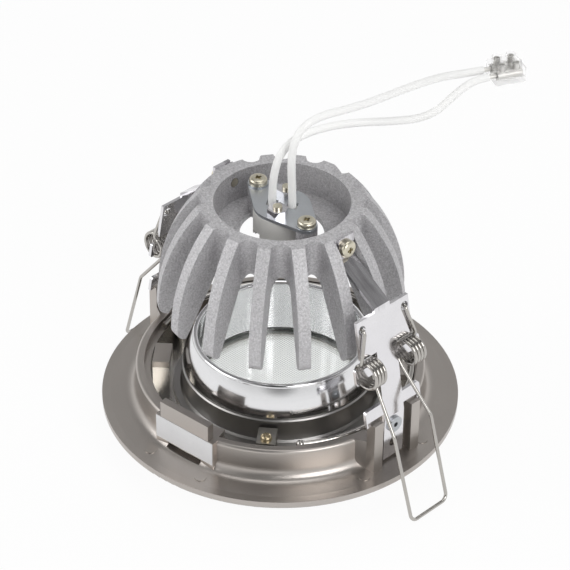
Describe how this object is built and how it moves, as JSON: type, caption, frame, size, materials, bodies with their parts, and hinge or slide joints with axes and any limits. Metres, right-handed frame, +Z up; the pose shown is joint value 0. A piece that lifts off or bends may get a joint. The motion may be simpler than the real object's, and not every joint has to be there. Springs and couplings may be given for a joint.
{
  "type": "recessed ceiling spotlight",
  "caption": "Recessed ceiling spotlight with satin nickel bezel, mirror lamp ring, finned cast heat sink, spring clips and a wired terminal block",
  "frame": {"origin": "centre of the seat ring on which the ceiling board rests", "axes": "+Z up into the ceiling along the lamp axis, +X through the two spring clips"},
  "size_m": [0.1282, 0.1331, 0.1093],
  "materials": {
    "satin_nickel": "satin nickel lacquer on a casting",
    "polished_aluminium": "mirror-polished aluminium",
    "clear_glass": "clear, fine dot pattern",
    "silicone": "matt",
    "bronze_strip": "dark bronze",
    "brass_screw": "worn bright",
    "spring_wire": "bright nickel-plated wire",
    "cast_aluminium": "sand-blasted casting",
    "zinc_steel": "bright zinc plate",
    "yellow_zinc": "yellow-passivated zinc",
    "blue_zinc": "blue zinc plate",
    "steatite": "unglazed light grey",
    "contact_brass": "plain",
    "clear_plastic": "translucent",
    "terminal_metal": "nickel-plated brass",
    "white_sleeve": "white sleeving",
    "foil_label": "blank silver-white foil"
  },
  "bodies": {
    "fitting": {"bezel": "satin_nickel", "reflector_ring": "polished_aluminium", "front_glass": "clear_glass", "glass_gasket": "silicone", "ring_clips": "bronze_strip", "ring_clip_screws": "brass_screw", "snap_ring": "spring_wire", "heat_sink": "cast_aluminium", "spring_plate_right": "zinc_steel", "spring_plate_left": "zinc_steel", "plate_rivets": "zinc_steel", "strap_screws": "yellow_zinc", "spring_coil_right_front": "spring_wire", "spring_coil_right_rear": "spring_wire", "spring_coil_left_front": "spring_wire", "spring_coil_left_rear": "spring_wire", "holder_plate": "blue_zinc", "ceramic_body": "steatite", "lamp_contacts": "contact_brass", "ceramic_screws": "yellow_zinc", "ceramic_nuts": "zinc_steel", "holder_washers": "blue_zinc", "holder_screws": "yellow_zinc", "terminal_block": "clear_plastic", "terminal_tubes": "terminal_metal", "terminal_screws": "terminal_metal", "lead_a": "white_sleeve", "lead_b": "white_sleeve", "lead_ferrules": "terminal_metal", "blank_label": "foil_label"},
    "right_bail": {"bail_right": "spring_wire"},
    "left_bail": {"bail_left": "spring_wire"}
  },
  "joints": [
    {"name": "right_bail", "type": "hinge", "parent": "fitting", "child": "right_bail", "pos_m": [0.04572, 0, 0.03505], "axis": [0, -1, 0], "range_deg": [-5, 160], "stiffness_Nm_per_rad": 0.06, "deforming": ["spring_coil_right_front", "spring_coil_right_rear"]},
    {"name": "left_bail", "type": "hinge", "parent": "fitting", "child": "left_bail", "pos_m": [-0.04572, 0, 0.03505], "axis": [0, 1, 0], "range_deg": [-5, 160], "stiffness_Nm_per_rad": 0.06, "deforming": ["spring_coil_left_front", "spring_coil_left_rear"]}
  ]
}
